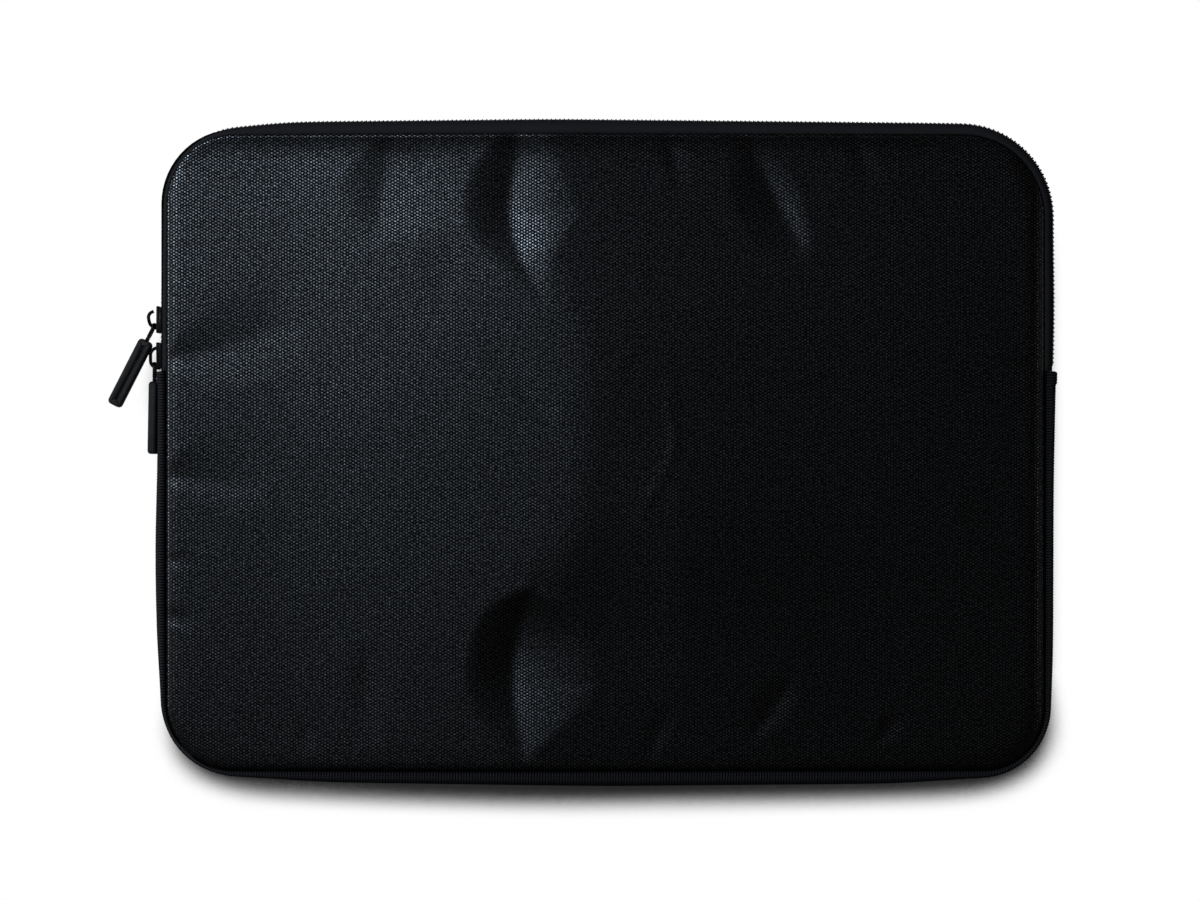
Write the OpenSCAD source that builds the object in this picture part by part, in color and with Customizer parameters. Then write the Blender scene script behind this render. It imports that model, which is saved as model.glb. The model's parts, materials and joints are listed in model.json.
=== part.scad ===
// Padded laptop sleeve with a two-slider zip over the top and a woven gusset round the bottom.
// It lies on its back: +X to the right, +Y to the zipped top edge, +Z out of the front panel.
// The origin is the middle of the back panel, on the surface that the sleeve lies on. Millimetres.

/* [Sleeve] */
// Width over the side walls
sleeve_w = 348; // [300:1:420]
// Height over the top and bottom walls
sleeve_h = 258; // [220:1:320]
// Corner radius of the outline
corner_r = 36; // [28:1:45]
// Clear depth of the laptop pocket
pocket_t = 15; // [13:0.5:24]
// How far the side walls stand out past the panel seams
wall_bulge = 4; // [3:0.5:7]
// Width of the rounded rim of each panel
rim_w = 9; // [6:0.5:14]

/* [Layers] */
// Thickness of the woven cover
cover_t = 0.8; // [0.5:0.1:1.5]
// Thickness of the foam in each panel
foam_t = 3.5; // [2:0.5:6]
// Thickness of the lining
lining_t = 0.5; // [0.3:0.1:1]
// Thickness of the gusset's webbing
webbing_t = 1; // [0.6:0.1:1.5]
// Thickness of the foam strip in the gusset
gusset_foam_t = 1.5; // [1:0.5:3]
// How far the folded ends of the gusset stand proud
hem_t = 0.5; // [0.3:0.1:0.8]
// Length of the folded ends of the gusset
hem_len = 5; // [3:0.5:8]
// Width of the binding over the seam allowance
binding_w = 3.5; // [2.5:0.5:6]
// Thickness of that binding
binding_t = 1; // [0.6:0.1:1.5]
// Clearance between one layer and the next
ply_gap = 0.1; // [0.05:0.05:0.2]
// Clearance along a seam
seam_gap = 0.2; // [0.1:0.05:0.3]

/* [Zip] */
// Distance from the top edge down to the ends of the zip
zip_drop = 98; // [85:1:110]
// Width of one row of coil
coil_w = 2.6; // [2:0.1:3]
// Thickness of the coil
coil_t = 1.3; // [1:0.1:1.8]
// Clear space between the two rows of coil
coil_gap = 1.6; // [1.4:0.1:2.2]
// Thickness of the tape
tape_t = 0.7; // [0.5:0.1:1]
// How far the edge of a tape lies behind the edge of its coil
tape_setback = 0.3; // [0.1:0.1:0.6]

/* [Sliders] */
// Length of a slider along the zip
slider_len = 10.6; // [9:0.1:13]
// Width of a slider at its nose
slider_nose_w = 8.6; // [7.6:0.1:9.6]
// Width of a slider at its tail
slider_tail_w = 6.6; // [5.8:0.1:7.4]
// Thickness of a slider's outer and inner plates
plate_t = 1.2; // [0.9:0.1:1.6]
// Running clearance of a slider on the zip
slider_gap = 0.3; // [0.25:0.05:0.4]
// Length of the post between the plates
post_len = 2.6; // [2:0.1:3.4]
// Space between the noses of the parked sliders
parking_gap = 3.6; // [2:0.1:6]
// Space between the lower slider and the end of the zip
stop_gap = 0.6; // [0.4:0.1:1.5]
// Width of the bridge
bridge_w = 2.2; // [1.6:0.1:2.8]
// Thickness of the bridge
bridge_t = 0.9; // [0.7:0.1:1.2]
// Clear height under the bridge
bridge_rise = 2.2; // [2:0.1:3]
// Radius of the bridge's outer corners
bridge_bend = 2.2; // [1.8:0.1:2.4]
// Distance from the slider's tail to the bridge
bridge_inset = 0.4; // [0.2:0.1:0.8]
// Distance from the slider's nose to the bridge
bridge_nose_inset = 1.4; // [1:0.1:2]
// Slot at the tail end of the bridge, where the pull is threaded on
bridge_slot = 0.6; // [0.4:0.1:0.8]

/* [Pulls] */
// Diameter of the crossbar that turns under the bridge
crossbar_d = 1.2; // [0.9:0.1:1.5]
// Clearance between the crossbar and the end of the bridge
crossbar_gap = 0.3; // [0.3:0.05:0.5]
// Clearance between the crossbar and the slider's plate
crossbar_lift = 0.3; // [0.25:0.05:0.5]
// Width of each arm of the link
arm_w = 1; // [0.8:0.1:1.4]
// Clearance between the arms and the bridge
arm_gap = 0.4; // [0.3:0.05:0.6]
// Length of the arms from the crossbar to the yoke
arm_len = 5.4; // [5:0.1:6.5]
// Length of the yoke that joins the arms
yoke_len = 1.4; // [1:0.1:2.5]
// Diameter of the tang inside the grip
tang_d = 1.6; // [1.2:0.1:1.8]
// Length of the tang inside the grip
tang_len = 9; // [6:0.5:14]
// Clearance between the tang and the grip
tang_gap = 0.05; // [0.02:0.01:0.1]
// Length of the grip
grip_len = 28.4; // [22:0.2:34]
// Width of the grip
grip_w = 6.4; // [5:0.1:8]
// Thickness of the grip
grip_t = 3.4; // [2.8:0.1:4]
// Radius on the grip's long edges
grip_edge_r = 0.9; // [0.5:0.1:1.2]
// Radius on the corners of the grip's ends
grip_end_r = 1.6; // [1:0.1:2.4]
// Width of the recess along each face of the grip
recess_w = 2.6; // [1.5:0.1:3]
// Depth of that recess
recess_d = 0.4; // [0.2:0.1:0.5]
// Land left at both ends of that recess
recess_land = 4; // [3:0.5:6]
// Angle of the lower pull out from the wall
lower_pull_tilt = 2; // [1:0.5:6]
// Angle of the upper pull out from the wall
upper_pull_tilt = 27; // [26:0.5:40]
// Turn of the upper grip about its own length
upper_grip_roll = 18; // [0:1:22]

/* [Hidden] */
$fn = 64;
arc_steps = 6;
panel_rise = cover_t + foam_t + lining_t + 2 * ply_gap;
sleeve_t = pocket_t + 2 * panel_rise;
mid_z = sleeve_t / 2;
front_seam_z = sleeve_t - panel_rise;
fold_y = sleeve_h / 2 - zip_drop;
seam_w = sleeve_w - 2 * wall_bulge;
seam_h = sleeve_h - 2 * wall_bulge;
seam_r = corner_r - wall_bulge;
wall_half_h = pocket_t / 2 - seam_gap;
wall_flat = slider_nose_w / 2 + slider_gap;
foam_inset = cover_t + ply_gap;
lining_inset = foam_inset + ply_gap;
gusset_foam_in = webbing_t + ply_gap;
gusset_lining_in = gusset_foam_in + gusset_foam_t + ply_gap;
wall_stack = gusset_lining_in + lining_t;
tape_in = coil_t + ply_gap;
coil_edge = coil_gap / 2;
post_w = coil_gap - 2 * slider_gap;
wall_x = -sleeve_w / 2;
plate_top = slider_gap + plate_t;
inner_plate_top = -(tape_in + tape_t + slider_gap);
lower_tail_y = fold_y + stop_gap;
upper_nose_y = lower_tail_y + slider_len + parking_gap;
pivot_out = plate_top + crossbar_lift + crossbar_d / 2;
pivot_in = bridge_t + crossbar_gap + crossbar_d / 2;
link_w = bridge_w + 2 * arm_gap + 2 * arm_w;
grip_start = arm_len + yoke_len;

woven_black = [0.06, 0.065, 0.075];
webbing_black = [0.07, 0.075, 0.085];
tape_black = [0.05, 0.05, 0.055];
lining_grey = [0.16, 0.16, 0.17];
foam_grey = [0.3, 0.3, 0.32];
metal_black = [0.09, 0.09, 0.1];
rubber_black = [0.11, 0.11, 0.12];

// Points in the reverse order
function reversed(points) = [for (i = [len(points) - 1:-1:0]) points[i]];

// Points mirrored across the zip's centre line
function flipped(points) = [for (p = points) [p[0], -p[1]]];

// Rounded rim of a panel, from the seam up to the flat, at a given depth below its surface
function rim_curve(depth) = [
    for (i = [0:arc_steps])
        let (a = 90 * i / arc_steps)
        [(rim_w - depth) * cos(a) - rim_w, (panel_rise - depth) * sin(a)]
];

// Outer half of a side wall, from a start height over the centre line up to the seam
function wall_curve(depth, start_z) = concat(
    [[wall_bulge - depth, start_z]],
    [
        for (i = [0:arc_steps])
            let (a = 90 * i / arc_steps)
            [wall_bulge * cos(a) - depth, wall_flat + (wall_half_h - wall_flat) * sin(a)]
    ]
);

// Whole height of a side wall at a given depth
function full_wall_curve(depth) = concat(reversed(flipped(wall_curve(depth, 0))), wall_curve(depth, 0));

// Section of one panel layer, rim only
module rim_section(depth, thickness) {
    polygon(concat(rim_curve(depth), reversed(rim_curve(depth + thickness))));
}

// Section of a full-height wall layer
module wall_section(depth, thickness) {
    polygon(concat(full_wall_curve(depth), reversed(full_wall_curve(depth + thickness))));
}

// Section of a zip tape, from its inner edge to the seam
module tape_section() {
    edge = coil_edge + tape_setback;
    polygon(concat(wall_curve(tape_in, edge), reversed(wall_curve(tape_in + tape_t, edge))));
}

// Carries a section, measured out from the seam line, along one straight run
module run(from, to) {
    rotate([90, 0, 0])
        translate([0, 0, -to])
            linear_extrude(to - from)
                children();
}

// Carries a section round the part of the seam line above a cut across the sleeve
module upper_loop(cut_y) {
    bend_x = seam_w / 2 - seam_r;
    bend_y = seam_h / 2 - seam_r;
    translate([seam_w / 2, 0, 0]) run(cut_y, bend_y) children();
    mirror([1, 0, 0]) translate([seam_w / 2, 0, 0]) run(cut_y, bend_y) children();
    translate([0, seam_h / 2, 0]) rotate([0, 0, 90]) run(-bend_x, bend_x) children();
    translate([bend_x, bend_y, 0]) bend() children();
    mirror([1, 0, 0]) translate([bend_x, bend_y, 0]) bend() children();
}

// Quarter turn of a section at a corner of the seam line
module bend() {
    rotate_extrude(angle = 90) translate([seam_r, 0]) children();
}

// Carries a section round the part of the seam line below a cut across the sleeve
module lower_loop(cut_y) {
    mirror([0, 1, 0]) upper_loop(-cut_y) children();
}

// Carries a section all the way round the seam line
module whole_loop() {
    upper_loop(0) children();
    lower_loop(0) children();
}

// Flat plate above a cut, set in from the seam line
module upper_plate(cut_y, inset, thickness) {
    w = seam_w - 2 * inset;
    r = seam_r - inset;
    top = seam_h / 2 - inset;
    translate([-w / 2, cut_y, 0]) cube([w, top - r - cut_y, thickness]);
    translate([r - w / 2, cut_y, 0]) cube([w - 2 * r, top - cut_y, thickness]);
    for (side = [-1, 1]) translate([side * (w / 2 - r), top - r, 0]) cylinder(r = r, h = thickness);
}

// Flat plate below a cut
module lower_plate(cut_y, inset, thickness) {
    mirror([0, 1, 0]) upper_plate(-cut_y, inset, thickness);
}

// Flat plate of the whole panel
module whole_plate(inset, thickness) {
    upper_plate(0, inset, thickness);
    lower_plate(0, inset, thickness);
}

// Places a panel that rises from the front seam
module at_front() {
    translate([0, 0, front_seam_z]) children();
}

// Places the same panel face down on the back
module at_back() {
    translate([0, 0, panel_rise]) mirror([0, 0, 1]) children();
}

// Section of the binding that covers a seam allowance inside the pocket
module binding_section() {
    translate([-wall_stack - ply_gap - binding_w, -seam_gap - binding_t]) square([binding_w, binding_t]);
}

// Height of the foam's top over the seam
foam_top = panel_rise - foam_inset;

module back_cover() {
    color(woven_black) at_back() {
        whole_loop() rim_section(0, cover_t);
        translate([0, 0, panel_rise - cover_t]) whole_plate(rim_w, cover_t);
    }
}

module front_cover() {
    cut = fold_y - seam_gap / 2;
    color(woven_black) at_front() {
        lower_loop(cut) rim_section(0, cover_t);
        translate([0, 0, panel_rise - cover_t]) lower_plate(cut, rim_w, cover_t);
    }
}

module flap_cover() {
    cut = fold_y + seam_gap / 2;
    color(woven_black) at_front() {
        upper_loop(cut) rim_section(0, cover_t);
        translate([0, 0, panel_rise - cover_t]) upper_plate(cut, rim_w, cover_t);
    }
}

// Section of the foam's rim, cut off level above the lining
module foam_rim_section() {
    floor_z = lining_t + ply_gap;
    intersection() {
        polygon(concat([[-rim_w, 0]], rim_curve(foam_inset)));
        translate([-rim_w, floor_z]) square([rim_w, foam_top - floor_z + ply_gap]);
    }
}

module back_foam() {
    color(foam_grey) at_back() {
        whole_loop() foam_rim_section();
        translate([0, 0, lining_t + ply_gap]) whole_plate(rim_w, foam_t);
    }
}

module front_foam() {
    cut = fold_y - seam_gap / 2;
    color(foam_grey) at_front() {
        lower_loop(cut) foam_rim_section();
        translate([0, 0, lining_t + ply_gap]) lower_plate(cut, rim_w, foam_t);
    }
}

module flap_foam() {
    cut = fold_y + seam_gap / 2;
    color(foam_grey) at_front() {
        upper_loop(cut) foam_rim_section();
        translate([0, 0, lining_t + ply_gap]) upper_plate(cut, rim_w, foam_t);
    }
}

module back_lining() {
    color(lining_grey) at_back() whole_plate(lining_inset, lining_t);
}

module front_lining() {
    color(lining_grey) at_front() lower_plate(fold_y - seam_gap / 2, lining_inset, lining_t);
}

module flap_lining() {
    color(lining_grey) at_front() upper_plate(fold_y + seam_gap / 2, lining_inset, lining_t);
}

module back_binding() {
    color(lining_grey) at_back() whole_loop() binding_section();
}

module front_binding() {
    color(lining_grey) at_front() lower_loop(fold_y - seam_gap / 2) binding_section();
}

module flap_binding() {
    color(lining_grey) at_front() upper_loop(fold_y + seam_gap / 2) binding_section();
}

// One folded end of the gusset, on the right-hand wall
module hem() {
    hem_end = fold_y - seam_gap / 2;
    translate([seam_w / 2, 0, mid_z])
        run(hem_end - hem_len, hem_end)
            translate([wall_bulge - webbing_t, -wall_flat])
                square([webbing_t + hem_t, 2 * wall_flat]);
}

module gusset_cover() {
    color(webbing_black) {
        translate([0, 0, mid_z]) lower_loop(fold_y - seam_gap / 2) wall_section(0, webbing_t);
        hem();
        mirror([1, 0, 0]) hem();
    }
}

module gusset_foam() {
    color(foam_grey)
        translate([0, 0, mid_z])
            lower_loop(fold_y - seam_gap / 2) wall_section(gusset_foam_in, gusset_foam_t);
}

module gusset_lining() {
    color(lining_grey)
        translate([0, 0, mid_z])
            lower_loop(fold_y - seam_gap / 2) wall_section(gusset_lining_in, lining_t);
}

// Section of one row of coil
module coil_section() {
    translate([wall_bulge - coil_t, coil_edge]) square([coil_t, coil_w]);
}

module zip_tape_back() {
    color(tape_black)
        translate([0, 0, mid_z])
            mirror([0, 0, 1]) upper_loop(fold_y + seam_gap / 2) tape_section();
}

module zip_coil_back() {
    color(tape_black)
        translate([0, 0, mid_z])
            mirror([0, 0, 1]) upper_loop(fold_y + seam_gap / 2) coil_section();
}

module zip_tape_front() {
    color(tape_black) translate([0, 0, mid_z]) upper_loop(fold_y + seam_gap / 2) tape_section();
}

module zip_coil_front() {
    color(tape_black) translate([0, 0, mid_z]) upper_loop(fold_y + seam_gap / 2) coil_section();
}

// Plate of a slider, tail at the origin and nose along +Y, facing +X
module slider_plate(bottom_x) {
    shoulder_y = slider_len - post_len;
    translate([bottom_x, 0, 0])
        rotate([90, 0, 90])
            linear_extrude(plate_t)
                polygon([
                    [0, -slider_tail_w / 2], [shoulder_y, -slider_nose_w / 2], [slider_len, -slider_nose_w / 2],
                    [slider_len, slider_nose_w / 2], [shoulder_y, slider_nose_w / 2], [0, slider_tail_w / 2]
                ]);
}

// Half a rounded bar standing on the plate: the outline of the bridge or of the window under it
module bridge_outline(inset) {
    r = bridge_rise + bridge_t - inset;
    from_y = bridge_inset + inset;
    to_y = slider_len - bridge_nose_inset - inset;
    corner = bridge_bend - inset;
    translate([plate_top, from_y]) square([r - corner, to_y - from_y]);
    translate([plate_top, from_y + corner]) square([r, to_y - from_y - 2 * corner]);
    for (y = [from_y + corner, to_y - corner]) translate([plate_top + r - corner, y]) circle(r = corner);
}

// Arch over the plate that holds the pull, slotted at the tail
module bridge() {
    translate([0, 0, -bridge_w / 2])
        linear_extrude(bridge_w)
            difference() {
                bridge_outline(0);
                bridge_outline(bridge_t);
                translate([plate_top, 0]) square([bridge_slot, bridge_inset + bridge_t]);
            }
}

// Cast slider: two plates, the post between the rows of coil, and the bridge
module slider() {
    color(metal_black) {
        slider_plate(slider_gap);
        slider_plate(inner_plate_top - plate_t);
        translate([inner_plate_top - plate_t / 2, slider_len - post_len, -post_w / 2])
            cube([plate_top - inner_plate_top, post_len, post_w]);
        bridge();
    }
}

// Turns a slider or pull to face out of the left-hand wall
module on_left_wall(y) {
    translate([wall_x, y, mid_z]) mirror([1, 0, 0]) children();
}

module lower_slider() {
    on_left_wall(lower_tail_y) slider();
}

module upper_slider() {
    on_left_wall(upper_nose_y + slider_len) mirror([0, 1, 0]) slider();
}

// Height of a pull's crossbar on the wall
lower_pivot_y = lower_tail_y + bridge_inset + pivot_in;
upper_pivot_y = upper_nose_y + bridge_nose_inset + pivot_in;

// Carries a pull, drawn hanging along -Y from its crossbar, out to its tilt
module hung_at(y, tilt) {
    on_left_wall(y) translate([pivot_out, 0, 0]) rotate([0, 0, tilt]) children();
}

// Wire link: the crossbar, two arms, the yoke and the tang that the grip is moulded on
module pull_link() {
    color(metal_black) {
        translate([0, 0, -link_w / 2]) cylinder(d = crossbar_d, h = link_w);
        for (side = [-1, 1])
            translate([-crossbar_d / 2, -arm_len, side * (link_w - arm_w) / 2 - arm_w / 2])
                cube([crossbar_d, arm_len, arm_w]);
        translate([-crossbar_d / 2, -grip_start, -link_w / 2]) cube([crossbar_d, yoke_len, link_w]);
        translate([0, -grip_start, 0]) rotate([90, 0, 0]) cylinder(d = tang_d, h = tang_len);
    }
}

// Rectangle with rounded corners
module rounded_rectangle(width, height, radius) {
    square([width - 2 * radius, height], center = true);
    square([width, height - 2 * radius], center = true);
    for (x = [-1, 1], y = [-1, 1])
        translate([x * (width / 2 - radius), y * (height / 2 - radius)]) circle(r = radius);
}

// Rounded bar of the grip, before its bore and recesses
module grip_body() {
    translate([0, -grip_start - grip_len / 2, 0])
        intersection() {
            rotate([90, 0, 0])
                linear_extrude(grip_len + 2, center = true) rounded_rectangle(grip_t, grip_w, grip_edge_r);
            rotate([0, 90, 0])
                linear_extrude(grip_t + 2, center = true) rounded_rectangle(grip_w, grip_len, grip_end_r);
        }
}

// Moulded grip with a bore for the tang and a recess along both faces
module pull_grip(roll) {
    color(rubber_black) rotate([0, roll, 0])
        difference() {
            grip_body();
            translate([0, -grip_start + tang_d, 0])
                rotate([90, 0, 0]) cylinder(d = tang_d + 2 * tang_gap, h = tang_len + tang_d + tang_gap);
            for (side = [-1, 1])
                translate([side * grip_t / 2, -grip_start - grip_len / 2, 0])
                    cube([2 * recess_d, grip_len - 2 * recess_land, recess_w], center = true);
        }
}

module lower_pull_link() {
    hung_at(lower_pivot_y, lower_pull_tilt) pull_link();
}

module lower_pull_grip() {
    hung_at(lower_pivot_y, lower_pull_tilt) pull_grip(0);
}

module upper_pull_link() {
    hung_at(upper_pivot_y, upper_pull_tilt) pull_link();
}

module upper_pull_grip() {
    hung_at(upper_pivot_y, upper_pull_tilt) pull_grip(upper_grip_roll);
}

back_cover();
back_foam();
back_lining();
back_binding();
front_cover();
front_foam();
front_lining();
front_binding();
flap_cover();
flap_foam();
flap_lining();
flap_binding();
gusset_cover();
gusset_foam();
gusset_lining();
zip_tape_back();
zip_coil_back();
zip_tape_front();
zip_coil_front();
lower_slider();
lower_pull_link();
lower_pull_grip();
upper_slider();
upper_pull_link();
upper_pull_grip();
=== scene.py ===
"""Dresses the laptop sleeve: creased woven covers, ribbed gusset, coil zip, sliders and pulls."""
import json
import math

import bmesh
import bpy
import numpy as np
from mathutils import Matrix, Vector, noise


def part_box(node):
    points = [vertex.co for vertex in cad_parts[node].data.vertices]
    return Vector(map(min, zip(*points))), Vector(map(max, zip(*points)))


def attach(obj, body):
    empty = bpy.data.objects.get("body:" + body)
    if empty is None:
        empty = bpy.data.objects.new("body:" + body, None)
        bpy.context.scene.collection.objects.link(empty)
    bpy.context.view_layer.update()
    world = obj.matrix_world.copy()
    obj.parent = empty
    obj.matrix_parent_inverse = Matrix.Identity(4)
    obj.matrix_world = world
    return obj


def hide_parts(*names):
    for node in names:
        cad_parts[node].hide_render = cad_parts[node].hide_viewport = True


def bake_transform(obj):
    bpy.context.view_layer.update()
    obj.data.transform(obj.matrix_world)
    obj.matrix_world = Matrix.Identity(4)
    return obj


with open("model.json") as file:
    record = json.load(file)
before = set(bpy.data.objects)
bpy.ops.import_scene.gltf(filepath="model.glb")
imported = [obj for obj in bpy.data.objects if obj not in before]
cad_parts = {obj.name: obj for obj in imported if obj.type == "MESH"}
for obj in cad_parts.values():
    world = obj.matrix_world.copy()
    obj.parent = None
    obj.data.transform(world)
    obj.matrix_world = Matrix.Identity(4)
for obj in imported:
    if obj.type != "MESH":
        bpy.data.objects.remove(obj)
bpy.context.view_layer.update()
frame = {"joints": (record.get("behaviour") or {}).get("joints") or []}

MM = 0.001
QUARTER = math.pi / 2

# Levels of the sleeve, from the frame
JOINT = {joint["name"]: joint for joint in frame["joints"]}
FOLD_Y = JOINT["flap_fold"]["pos_m"][1]
FRONT_TOP_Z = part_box("flap_cover")[1].z
FRONT_SEAM_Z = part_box("flap_cover")[0].z
BACK_SEAM_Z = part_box("back_cover")[1].z
PANEL_RISE = FRONT_TOP_Z - FRONT_SEAM_Z
MID_Z = (FRONT_SEAM_Z + BACK_SEAM_Z) / 2
EDGE_DROP = 0.2 * MM
WALL_HALF_H = (FRONT_SEAM_Z - BACK_SEAM_Z) / 2 - EDGE_DROP

# Seam line of the panels: a rectangle with a different bend at each corner, a little wider and less tall
# than the back cover's solid
SEAM_SPREAD = 1.0 * MM
SEAM_DRAW = 1.3 * MM
SEAM_HALF_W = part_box("back_cover")[1].x + SEAM_SPREAD
SEAM_HALF_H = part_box("back_cover")[1].y - SEAM_DRAW
SEAM_MID_Y = -0.8 * MM
BEND_STEPS = 32
CORNERS = (  # side in x, side in y, radius in mm, direction of the wall in degrees where the bend starts
    (-1, 1, 27, 180),
    (1, 1, 32, 90),
    (1, -1, 24, 0),
    (-1, -1, 27, -90),
)

# Places on the seam in mm, and how far the wall stands out past the seam there
WALL_BULGE = (
    (-171, -74, 3.3), (-171, -40, 4.0), (-171, 0, 2.9), (-171, 31, 2.8), (-171, 58, 2.8), (-171, 92, 2.1),
    (-163, 117, 1.5), (-147, 124, 3.3), (-125, 124, 5.6), (-20, 124, 6.7), (95, 124, 5.5), (133, 124, 5.1),
    (164, 116, 4.4), (171, 90, 3.8), (171, 55, 4.3), (171, -12, 2.8), (171, -80, 2.6),
    (165, -116, 0.9), (142, -124, 2.6), (112, -124, 4.6), (0, -124, 5.5), (-110, -124, 4.0),
    (-143, -124, 1.6), (-162, -117, 0.4), (-170, -95, 1.6),
)
BULGE_BLUR = 9 * MM


def seam_line():
    """Running length, x, y and outward angle round the seam, clockwise from the top of the left side."""
    rows = []
    for side_x, side_y, radius, start in CORNERS:
        r = radius * MM
        cx = side_x * (SEAM_HALF_W - r)
        cy = SEAM_MID_Y + side_y * (SEAM_HALF_H - r)
        for i in range(BEND_STEPS + 1):
            a = math.radians(start - 90 * i / BEND_STEPS)
            rows.append((cx + r * math.cos(a), cy + r * math.sin(a), a))
    first = rows[0]
    rows.append((first[0], first[1], first[2] - 2 * math.pi))
    x, y, angle = np.array(rows).T
    run = np.concatenate([[0], np.cumsum(np.hypot(np.diff(x), np.diff(y)))])
    return run, x, y, angle


SEAM_RUN, SEAM_X, SEAM_Y, SEAM_ANGLE = seam_line()
SEAM_LENGTH = SEAM_RUN[-1]
RIGHT_SIDE = slice(BEND_STEPS + 1, 3 * (BEND_STEPS + 1))
ZIP_FROM = -(SEAM_Y[0] - FOLD_Y)
ZIP_TO = float(np.interp(-FOLD_Y, -SEAM_Y[RIGHT_SIDE], SEAM_RUN[RIGHT_SIDE]))


def on_seam(s):
    """x, y and outward angle at running lengths s."""
    s = np.asarray(s, float) % SEAM_LENGTH
    return tuple(np.interp(s, SEAM_RUN, row) for row in (SEAM_X, SEAM_Y, SEAM_ANGLE))


def past_seam(s, out, up):
    """Place at one running length, a distance past the seam and a height over the middle, and its angle."""
    x, y, angle = (float(value) for value in on_seam(s))
    return Vector((x + out * math.cos(angle), y + out * math.sin(angle), MID_Z + up)), angle


def bulge_table(step=1 * MM):
    """How far the wall stands past the seam at even running lengths, smoothed between its known places."""
    run = np.arange(0, SEAM_LENGTH, step)
    x, y, _ = on_seam(run)
    stations = []
    for place_x, place_y, bulge in WALL_BULGE:
        nearest = np.argmin(np.hypot(x - place_x * MM, y - place_y * MM))
        stations.append((run[nearest], bulge * MM))
    at, out = np.array(sorted(stations)).T
    rough = np.interp(run, at, out, period=SEAM_LENGTH)
    reach = int(3 * BULGE_BLUR / step)
    weights = np.exp(-0.5 * (np.arange(-reach, reach + 1) * step / BULGE_BLUR) ** 2)
    padded = np.concatenate([rough[-reach:], rough, rough[:reach]])
    return run, np.convolve(padded, weights / weights.sum(), mode="valid")


BULGE_RUN, BULGE_OUT = bulge_table()


def wall_bulge(s):
    """How far the wall stands past the seam at running lengths s."""
    return np.interp(np.asarray(s) % SEAM_LENGTH, BULGE_RUN, BULGE_OUT, period=SEAM_LENGTH)


# Shader helpers

def wire(tree, kind, inputs=None, **settings):
    """Adds a node with its options, feeds each input a link or a constant, and returns the first output."""
    node = tree.nodes.new(kind)
    for key, value in settings.items():
        setattr(node, key, value)
    for key, value in (inputs or {}).items():
        if isinstance(value, bpy.types.NodeSocket):
            tree.links.new(value, node.inputs[key])
        else:
            node.inputs[key].default_value = value
    return node.outputs[0] if node.outputs else node


def maths(tree, operation, *values):
    """One maths node on links or numbers."""
    return wire(tree, "ShaderNodeMath", dict(enumerate(values)), operation=operation)


def stretch(tree, value, low, high, to_low, to_high, **settings):
    """Carries a value from one range to another, held at the ends."""
    inputs = {"Value": value, "From Min": low, "From Max": high, "To Min": to_low, "To Max": to_high}
    return wire(tree, "ShaderNodeMapRange", inputs, **settings)


def shade(tree, factor, dark, light):
    """Colour between two colours."""
    node = tree.nodes.new("ShaderNodeMix")
    node.data_type = "RGBA"
    tree.links.new(factor, node.inputs["Factor"])
    node.inputs["A"].default_value = (*dark, 1)
    node.inputs["B"].default_value = (*light, 1)
    return node.outputs["Result"]


def material(name, **constants):
    """Material, its node tree and its shader, with the shader's constant sockets set."""
    mat = bpy.data.materials.new(name)
    mat.use_nodes = True
    shader = mat.node_tree.nodes["Principled BSDF"]
    for key, value in constants.items():
        shader.inputs[key.replace("_", " ")].default_value = value
    return mat, mat.node_tree, shader


def relief(tree, shader, height, depth):
    """Bump of a given depth in metres from a height between 0 and 1."""
    bump = wire(tree, "ShaderNodeBump", {"Height": height, "Distance": depth, "Strength": 1.0})
    tree.links.new(bump, shader.inputs["Normal"])


# Materials

# Pitches of the cloth patterns in mm: columns and rows of the cover's weave, ribs and yarns of the webbing.
# The powers narrow the dots of the weave
COVER_COLUMN = 1.09
COVER_ROW = 0.605
DOT_COLUMN_POWER = 4.0
DOT_ROW_POWER = 2.0
RIB_PITCH_MM = 1.09
YARN_PITCH = 0.8


def cloth_grid(tree, wobble):
    """Flat cloth position in mm: x and y with the yarns a little uneven, and the even position."""
    uv = wire(tree, "ShaderNodeUVMap", uv_map="cloth")
    drift = tree.nodes.new("ShaderNodeTexNoise")
    tree.links.new(uv, drift.inputs["Vector"])
    drift.inputs["Scale"].default_value = 0.35
    drift.inputs["Detail"].default_value = 2
    centring = {0: drift.outputs["Color"], 1: (0.5, 0.5, 0.5)}
    centred = wire(tree, "ShaderNodeVectorMath", centring, operation="SUBTRACT")
    moved = wire(tree, "ShaderNodeVectorMath", {0: centred, "Scale": wobble}, operation="SCALE")
    place = wire(tree, "ShaderNodeVectorMath", {0: uv, 1: moved}, operation="ADD")
    split = tree.nodes.new("ShaderNodeSeparateXYZ")
    tree.links.new(place, split.inputs[0])
    return split.outputs[0], split.outputs[1], uv


def wave(tree, value, period):
    """Cosine of a length in mm with a given period."""
    return maths(tree, "COSINE", maths(tree, "MULTIPLY", value, 2 * math.pi / period))


def staggered_dots(tree, across, along):
    """Round dots in columns, each column half a step past the next, from 0 to 1."""
    half_x = maths(tree, "MULTIPLY", wave(tree, across, 2 * COVER_COLUMN), 0.5)
    half_y = maths(tree, "MULTIPLY", wave(tree, along, 2 * COVER_ROW), 0.5)
    rows = []
    for operation in ("ADD", "SUBTRACT"):
        column = maths(tree, "POWER", maths(tree, operation, 0.5, half_x), DOT_COLUMN_POWER)
        row = maths(tree, "POWER", maths(tree, operation, 0.5, half_y), DOT_ROW_POWER)
        rows.append(maths(tree, "MULTIPLY", column, row))
    return maths(tree, "ADD", *rows)


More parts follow.
